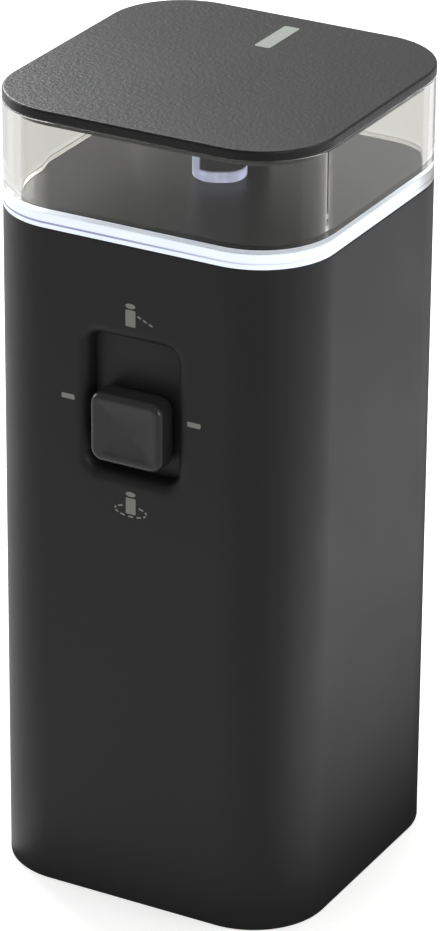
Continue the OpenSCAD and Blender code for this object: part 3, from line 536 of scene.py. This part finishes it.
def stand_at_front(piece, y, z):
    """Turns a piece that was made lying on its back to look forward, from y, with its middle at z."""
    bpy.ops.object.select_all(action="DESELECT")
    piece.select_set(True)
    bpy.context.view_layer.objects.active = piece
    piece.rotation_euler = (math.pi / 2, 0, 0)
    piece.location = (0, y, z)
    bpy.ops.object.transform_apply(location=True, rotation=True)
    return piece


knob = rounded_block("finger_knob", knob_half_x, knob_half_z, 0, knob_thickness, knob_corner, 10)
pick("EDGE", lambda e: all(abs(v.co.z - knob_thickness) < tiny for v in e.verts))
bpy.ops.mesh.bevel(offset=knob_round, segments=8, affect="EDGES", clamp_overlap=False)
pick("FACE", lambda f: f.normal.z > 0.99)
bpy.ops.mesh.inset(thickness=dish_rim)
size = 1
for step in range(dish_steps):
    smaller = 1 - (step + 1) / (dish_steps + 1)
    fall = dish_depth * (size ** 2 - smaller ** 2)
    bpy.ops.mesh.extrude_region_move(TRANSFORM_OT_translate={"value": (0, 0, -fall)})
    bpy.ops.transform.resize(value=(smaller / size, smaller / size, 1), center_override=(0, 0, 0))
    size = smaller
finish_mesh(knob, angle=40, weighted=False)
stand_at_front(knob, knob_back, knob_middle)
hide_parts("mode_slider")
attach(knob, "mode")
wear_it(knob, moulded("polished_black_plastic", (0.026, 0.026, 0.027), 0.20, grain_size=0.4,
                      grain_depth=0.0008, vary=0.08, edge=0.5, specular=0.6))

plate = rounded_block("plate", shutter_half_x, shutter_half_z, 0, shutter_thickness, 0.5 * MM, 4)
pick("EDGE", lambda e: all(v.co.z > shutter_thickness - tiny for v in e.verts))
bpy.ops.mesh.bevel(offset=0.15 * MM, segments=2, affect="EDGES")
finish_mesh(plate)
stand_at_front(plate, shutter_front + shutter_thickness, knob_middle)
neck = rounded_block("neck", neck_half_x, neck_half_z, 0, shutter_front - knob_back, 0.4 * MM, 3)
finish_mesh(neck)
stand_at_front(neck, shutter_front, knob_middle)
prongs = []
for side in (-1, 1):
    prong = rounded_block("prong", fork_half_x, fork_wall / 2, 0, fork_depth, 0.3 * MM, 3)
    finish_mesh(prong)
    middle = knob_middle + side * (fork_reach + fork_wall / 2)
    prongs.append(stand_at_front(prong, shutter_front + shutter_thickness + fork_depth, middle))
shutter = join([plate, neck, *prongs], "shutter_with_fork")
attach(shutter, "mode")
wear_it(shutter, moulded("satin_black_plastic", (0.017, 0.017, 0.018), 0.40, grain_size=0.2,
                         grain_depth=0.003, vary=0.08, edge=0.2, specular=0.45))


# Light ring: translucent white plastic. Its glow is painted in its material as emission, which
# stands for the lamps on the ring board below it, with painted shade on the sides that face away
# from the eye and a painted shadow along its groove on the left. A fine groove runs round it, its
# ledge carries the deck, and its skirt centres it in the shell.
ring_low, ring_high = shell_high, shell_high + 1.8 * MM
ring_edge = 0.15 * MM
groove_low, groove_width, groove_depth = ring_low + 0.6 * MM, 0.15 * MM, 0.12 * MM
lens_wall = 2 * MM
deck_low = ring_high - 1.2 * MM
seat_half = half - lens_wall + 0.05 * MM
ledge_half = half - lens_wall - 2.4 * MM
skirt_half = inner_half - 0.15 * MM
skirt_depth = 1 * MM

ring = rounded_block("glowing_ring", half, half, ring_low, ring_high, corner)
pick("FACE", lambda f: f.normal.z > 0.99)
bpy.ops.mesh.inset(thickness=half - seat_half)
bpy.ops.mesh.extrude_region_move(
    TRANSFORM_OT_translate={"value": (0, 0, deck_low - ring_high)})
bpy.ops.mesh.inset(thickness=seat_half - ledge_half)
bpy.ops.mesh.delete(type="FACE")
pick("FACE", lambda f: f.normal.z < -0.99 and f.calc_center_median().z < ring_low + tiny)
bpy.ops.mesh.inset(thickness=half - skirt_half)
bpy.ops.mesh.extrude_region_move(TRANSFORM_OT_translate={"value": (0, 0, -skirt_depth)})
bpy.ops.mesh.inset(thickness=skirt_half - ledge_half)
bpy.ops.mesh.delete(type="FACE")
bridge(lambda p: True)


def outer_side(face):
    """Whether a face belongs to the ring's outer side."""
    middle = face.calc_center_median()
    return abs(face.normal.z) < 0.01 and face.normal.dot(middle) > 0 and middle.z > ring_low


for level in (groove_low, groove_low + groove_width):
    pick("FACE", outer_side)
    bpy.ops.mesh.bisect(plane_co=(0, 0, level), plane_no=(0, 0, 1))
pick("FACE", lambda f: outer_side(f)
     and abs(f.calc_center_median().z - groove_low - groove_width / 2) < groove_width / 2)
bpy.ops.mesh.extrude_region_shrink_fatten(
    TRANSFORM_OT_shrink_fatten={"value": -groove_depth, "use_even_offset": True})
pick("EDGE", lambda e: outer_crease(e) and any(
    abs(e.verts[0].co.z - z) < tiny for z in (ring_low, ring_high))
    and max(abs(e.verts[0].co.x), abs(e.verts[0].co.y)) > half - corner * 0.35)
bpy.ops.mesh.bevel(offset=ring_edge, segments=3, affect="EDGES", clamp_overlap=False)
finish_mesh(ring)
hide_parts("light_ring")
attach(ring, "tower")

glow = bpy.data.materials.new("white_plastic_with_painted_glow")
glow.use_nodes = True
tree = glow.node_tree
tree.nodes.clear()
place = add(tree, "TexCoord").outputs["Object"]
cloud = add(tree, "TexNoise", {"Vector": place, "Scale": 160.0, "Detail": 1.0})
east, north, height = add(tree, "SeparateXYZ", {0: place}).outputs
# Painted shadow: a darker lilac line along the groove, only on the side to the camera's left.
off_line = math_node(tree, "ABSOLUTE", math_node(tree, "SUBTRACT", height,
                                                 groove_low + groove_width / 2))
on_line = ramp(tree, off_line, 0.5 * groove_width, 1.2 * groove_width, 1.0, 0.0)
rightwards = math_node(tree, "ADD", math_node(tree, "MULTIPLY", east, math.cos(azimuth)),
                       math_node(tree, "MULTIPLY", north, math.sin(azimuth)))
painted_groove_shade_on_left = ramp(tree, rightwards, -14 * MM, 10 * MM, 0.95, 0.0)
glow_colour_with_painted_groove_shade = add(tree, "Mix", {0: math_node(tree, "MULTIPLY", on_line, painted_groove_shade_on_left),
                          6: (0.80, 0.87, 0.97, 1), 7: (0.36, 0.36, 0.55, 1)},
            data_type="RGBA").outputs[2]
shade = ramp(tree, cloud.outputs["Fac"], 0.3, 0.7, 0.86, 1.06)
# Painted light and shade: the ring glows on the sides that face the eye and is plain grey on those
# facing away.
outward = add(tree, "VectorMath", {0: place, 1: (1, 1, 0)}, operation="MULTIPLY").outputs[0]
outward = add(tree, "VectorMath", {0: outward}, operation="NORMALIZE").outputs[0]
to_eye = add(tree, "NewGeometry").outputs["Incoming"]
facing = add(tree, "VectorMath", {0: to_eye, 1: outward}, operation="DOT_PRODUCT").outputs["Value"]
near = ramp(tree, facing, -0.1, 0.1, 0.0, 1.0)
shade = math_node(tree, "MULTIPLY", shade, near)
painted_lit_and_shaded_base = add(tree, "Mix", {0: near, 6: (0.40, 0.40, 0.38, 1), 7: glow_colour_with_painted_groove_shade}, data_type="RGBA").outputs[2]
painted_glow_colour = add(tree, "VectorMath", {0: glow_colour_with_painted_groove_shade, "Scale": shade}, operation="SCALE").outputs[0]
milky = add(tree, "BsdfPrincipled", {
    "Base Color": painted_lit_and_shaded_base, "Roughness": 0.3, "Emission Color": painted_glow_colour, "Emission Strength": 0.34})
add(tree, "OutputMaterial", {"Surface": milky.outputs[0]})
wear_it(ring, glow)


# Deck: a dark satin sheet that lies on the ring's ledge and closes the head from below. The
# emitters' legs pass through it.
deck_half = half - lens_wall - 0.05 * MM
deck_corner = corner - lens_wall - 0.05 * MM
deck_edge = 0.15 * MM
deck = rounded_block("satin_deck", deck_half, deck_half, deck_low, ring_high, deck_corner)
pick("EDGE", lambda e: all(abs(v.co.z - ring_high) < tiny for v in e.verts))
bpy.ops.mesh.bevel(offset=deck_edge, segments=3, affect="EDGES", clamp_overlap=False)
finish_mesh(deck)
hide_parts("deck")
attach(deck, "tower")
wear_it(deck, moulded("dark_satin_sheet", (0.0085, 0.0085, 0.0095), 0.34, grain_size=0.25,
                      grain_depth=0.0015, vary=0.08, edge=0.2, specular=0.15))


# Lens: the clear wall of the head, one moulding of polished polycarbonate that stands on the
# ring and carries the cap.
lens_seat = 0.02 * MM
lens_low, lens_high = ring_high - lens_seat, ring_high + 10.6 * MM
lens_edge = 0.15 * MM
lens = rounded_block("clear_head", half, half, lens_low, lens_high, corner)
for side in (-1, 1):
    pick("FACE", lambda f: f.normal.z * side > 0.99)
    bpy.ops.mesh.inset(thickness=lens_wall)
    bpy.ops.mesh.delete(type="FACE")
bridge(lambda p: True)
bpy.ops.mesh.select_all(action="SELECT")
bpy.ops.mesh.normals_make_consistent(inside=False)
pick("EDGE", outer_crease)
bpy.ops.mesh.bevel(offset=lens_edge, segments=3, affect="EDGES", clamp_overlap=False)
finish_mesh(lens)
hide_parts("clear_lens")
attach(lens, "tower")


def clear_plastic(name, colour, roughness, refraction, ripple=0.00006):
    """Clear plastic with a faint moulding ripple, which lets lamplight through to what it holds."""
    made = bpy.data.materials.new(name)
    made.use_nodes = True
    tree = made.node_tree
    tree.nodes.clear()
    place = add(tree, "TexCoord").outputs["Object"]
    wave = add(tree, "TexNoise", {"Vector": place, "Scale": 150.0, "Detail": 1.0})
    tone = add(tree, "Mix", {0: wave.outputs["Fac"], 6: (*[c * 0.985 for c in colour], 1),
                             7: (*colour, 1)}, data_type="RGBA").outputs[2]
    bump = add(tree, "Bump", {"Height": wave.outputs["Fac"], "Strength": 1.0,
                              "Distance": ripple * MM}).outputs[0]
    shadow = add(tree, "LightPath").outputs["Is Shadow Ray"]
    solid = math_node(tree, "SUBTRACT", 1.0, math_node(tree, "MULTIPLY", shadow, 0.85))
    body = add(tree, "BsdfPrincipled", {
        "Base Color": tone, "Roughness": roughness, "IOR": refraction, "Transmission Weight": 1.0,
        "Alpha": solid, "Normal": bump, "Specular IOR Level": 0.2})
    add(tree, "OutputMaterial", {"Surface": body.outputs[0]})
    return made


wear_it(lens, clear_plastic("clear_polycarbonate", (0.905, 0.90, 0.87), 0.0, 1.46))


# Column: a clear tube on a solid foot, on the head's middle axis. The halo emitter stands in it.
# Its foot and its left side glow bluish white with painted light: emission that stands for light from
# the ring board.
column_radius, core_radius = 2.75 * MM, 2.2 * MM
column_foot = 1.3 * MM
column_high = lens_high - 1 * MM
foot_round = 0.25 * MM
bpy.ops.object.select_all(action="DESELECT")
bpy.ops.mesh.primitive_cylinder_add(vertices=64, radius=column_radius, depth=column_high - ring_high,
                                    location=(0, 0, (column_high + ring_high) / 2))
column = bpy.context.object
column.name = "halo_column"
bpy.ops.object.transform_apply(location=True)
bpy.ops.object.mode_set(mode="EDIT")
pick("FACE", lambda f: f.normal.z > 0.99)
bpy.ops.mesh.inset(thickness=column_radius - core_radius)
bpy.ops.mesh.extrude_region_move(
    TRANSFORM_OT_translate={"value": (0, 0, ring_high + column_foot - column_high)})
pick("EDGE", lambda e: all(abs(v.co.z - ring_high) < tiny for v in e.verts)
     and len(e.link_faces) == 2)
bpy.ops.mesh.bevel(offset=foot_round, segments=3, affect="EDGES")
finish_mesh(column)
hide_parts("halo_lens")
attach(column, "tower")

painted_column_glow_colour = (0.62, 0.66, 0.95, 1)
pale = bpy.data.materials.new("clear_column_with_painted_glow")
pale.use_nodes = True
tree = pale.node_tree
tree.nodes.clear()
place = add(tree, "TexCoord").outputs["Object"]
spot_x, spot_y, spot_z = add(tree, "SeparateXYZ", {0: place}).outputs[:3]
# Painted light: the foot glows by height, and the side to the camera's left glows by position.
painted_foot_light = add(tree, "MapRange", {"Value": spot_z, "From Min": ring_high + column_foot + 0.2 * MM,
                                    "From Max": ring_high + column_foot - 0.1 * MM}).outputs[0]
leftwards = math_node(tree, "ADD", math_node(tree, "MULTIPLY", spot_x, -math.cos(azimuth)),
                      math_node(tree, "MULTIPLY", spot_y, -math.sin(azimuth)))
painted_side_light = ramp(tree, leftwards, 1.75 * MM, 2.05 * MM, 0.0, 0.9)
cloud = add(tree, "TexNoise", {"Vector": place, "Scale": 700.0, "Detail": 2.0}).outputs["Fac"]
painted_lit_mask = math_node(tree, "MAXIMUM", painted_foot_light, painted_side_light)
glow = math_node(tree, "MULTIPLY", painted_lit_mask, ramp(tree, cloud, 0.3, 0.7, 0.7, 1.1))
painted_glowing_colour = add(tree, "VectorMath", {0: painted_column_glow_colour[:3], "Scale": glow}, operation="SCALE").outputs[0]
body = add(tree, "BsdfPrincipled", {
    "Base Color": (0.30, 0.31, 0.36, 1), "Roughness": 0.12, "IOR": 1.49,
    "Emission Color": painted_glowing_colour, "Emission Strength": 0.62})
core = add(tree, "BsdfPrincipled", {
    "Base Color": (0.006, 0.006, 0.009, 1), "Roughness": 0.25, "IOR": 1.49,
    "Specular IOR Level": 0.3})
skin = add(tree, "MixShader", {0: painted_lit_mask, 1: core.outputs[0], 2: body.outputs[0]})
add(tree, "OutputMaterial", {"Surface": skin.outputs[0]})
wear_it(column, pale)


# Cap: a flat black-grey lid with a fine pebbled face. A lip under it centres it in the lens, and
# a boss in its middle holds the reflector over the column.
cap_low, cap_high = lens_high, lens_high + 1.2 * MM
mark_thickness = 0.02 * MM
cap_edge, cap_under_edge = 0.3 * MM, 0.1 * MM
lip_half = half - lens_wall - 0.05 * MM
lip_wall, lip_depth = 1.2 * MM, 1 * MM
boss_radius, boss_bore = 3.95 * MM, 2.2 * MM
cap = rounded_block("pebbled_cap", half, half, cap_low, cap_high - mark_thickness, corner)
pick("EDGE", lambda e: all(v.co.z > cap_high - mark_thickness - tiny for v in e.verts))
bpy.ops.mesh.bevel(offset=cap_edge, segments=4, affect="EDGES", clamp_overlap=False)
pick("EDGE", lambda e: all(abs(v.co.z - cap_low) < tiny for v in e.verts))
bpy.ops.mesh.bevel(offset=cap_under_edge, segments=2, affect="EDGES", clamp_overlap=False)
pick("FACE", lambda f: f.normal.z < -0.99)
bpy.ops.mesh.inset(thickness=half - cap_under_edge - lip_half)
bpy.ops.mesh.extrude_region_move(TRANSFORM_OT_translate={"value": (0, 0, -lip_depth)})
bpy.ops.mesh.inset(thickness=lip_wall)
bpy.ops.mesh.extrude_region_move(TRANSFORM_OT_translate={"value": (0, 0, lip_depth)})
finish_mesh(cap)
bpy.ops.object.select_all(action="DESELECT")
bpy.ops.mesh.primitive_cylinder_add(vertices=64, radius=boss_radius, depth=lip_depth,
                                    location=(0, 0, cap_low - lip_depth / 2))
boss = bpy.context.object
bpy.ops.object.transform_apply(location=True)
bpy.ops.object.mode_set(mode="EDIT")
pick("FACE", lambda f: f.normal.z < -0.99)
bpy.ops.mesh.inset(thickness=boss_radius - boss_bore)
bpy.ops.mesh.extrude_region_move(TRANSFORM_OT_translate={"value": (0, 0, lip_depth * 0.99)})
finish_mesh(boss)
cap = join([cap, boss], "pebbled_cap")
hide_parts("top_cap")
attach(cap, "tower")
wear_it(cap, moulded("pebbled_grey_plastic", (0.0070, 0.0070, 0.0066), 0.40, grain_size=0.42,
                     grain_depth=0.06, vary=0.25, edge=0.5, specular=0.5, polish=0.7))

# Direction mark: a short bar of pale ink on the cap, over the side where the beam leaves.
mark_half_x, mark_half_y = 0.975 * MM, 3.7 * MM
mark_middle = half - 3.3 * MM - mark_half_y
mark = rounded_block("direction_mark_print", mark_half_x, mark_half_y, cap_high - 2 * mark_thickness,
                     cap_high, 0.3 * MM, 5)
finish_mesh(mark)
mark.location = (0, mark_middle, 0)
bpy.ops.object.transform_apply(location=True)
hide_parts("direction_mark")
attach(mark, "tower")
wear_it(mark, moulded("pale_ink", (0.31, 0.33, 0.305), 0.5, grain_size=0.30, grain_depth=0.006,
                      vary=0.12, edge=0.0, specular=0.3))


# Everything else keeps its solid from the frame. These are the finishes of the base, the door,
# the inner frame, the cells and the electronics.
finishes = {
    "plain_black_plastic": (moulded("plain_black_plastic", (0.026, 0.026, 0.028), 0.5,
                                    grain_size=0.25, grain_depth=0.008),
                            ("slider_rails", "base_plate", "battery_door", "beam_holder",
                             "battery_carrier")),
    "smoked_plastic": (moulded("smoked_plastic", (0.010, 0.010, 0.014), 0.12, grain_size=0.5,
                               grain_depth=0.0005, vary=0.1, edge=0.1, coat=0.3),
                       ("halo_emitter", "beam_emitter")),
    "bright_coating": (moulded("bright_coating", (0.75, 0.76, 0.78), 0.12, grain_size=0.3,
                               grain_depth=0.0005, vary=0.05, metallic=1.0), ("halo_reflector",)),
    "zinc_plate": (moulded("zinc_plate", (0.45, 0.45, 0.46), 0.32, grain_size=0.08,
                           grain_depth=0.002, vary=0.15, metallic=1.0),
                   ("base_screws", "board_screws", "ring_screws")),
    "nickel_plate": (moulded("nickel_plate", (0.62, 0.61, 0.57), 0.25, grain_size=0.15,
                             grain_depth=0.001, vary=0.1, metallic=1.0),
                     ("bridge_contact", "spring_plate", "button_contact", "battery_spring",
                      "mode_switch", "crystal")),
    "ivory_plastic": (moulded("ivory_plastic", (0.72, 0.71, 0.64), 0.4), ("switch_lever",)),
    "cell_jacket": (moulded("cell_jacket", (0.10, 0.11, 0.13), 0.3, grain_size=0.5,
                            grain_depth=0.001, coat=0.4), ("cell_left", "cell_right")),
    "green_mask": (moulded("green_mask", (0.02, 0.10, 0.035), 0.35, grain_size=0.6,
                           grain_depth=0.002, vary=0.2), ("main_board",)),
    "white_mask": (moulded("white_mask", (0.78, 0.80, 0.78), 0.4, grain_size=0.6,
                           grain_depth=0.002, vary=0.05), ("ring_board",)),
    "black_epoxy": (moulded("black_epoxy", (0.018, 0.018, 0.02), 0.55, grain_size=0.1,
                            grain_depth=0.004), ("controller_chip", "resistors", "board_header")),
    "blue_sleeve": (moulded("blue_sleeve", (0.03, 0.035, 0.08), 0.3, coat=0.3), ("capacitor",)),
    "ferrite": (moulded("ferrite", (0.06, 0.06, 0.065), 0.6, grain_size=0.1, grain_depth=0.01),
                ("inductor",)),
    "phosphor": (moulded("phosphor", (0.88, 0.80, 0.42), 0.4, vary=0.05), ("ring_lamps",)),
}
for material, names in finishes.values():
    for name in names:
        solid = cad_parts[name]
        solid.data.polygons.foreach_set("use_smooth", [True] * len(solid.data.polygons))
        solid.modifiers.new("weld", "WELD").merge_threshold = tiny / 10
        solid.modifiers.new("crisp_edges", "EDGE_SPLIT").split_angle = math.radians(32)
        wear_it(solid, material)
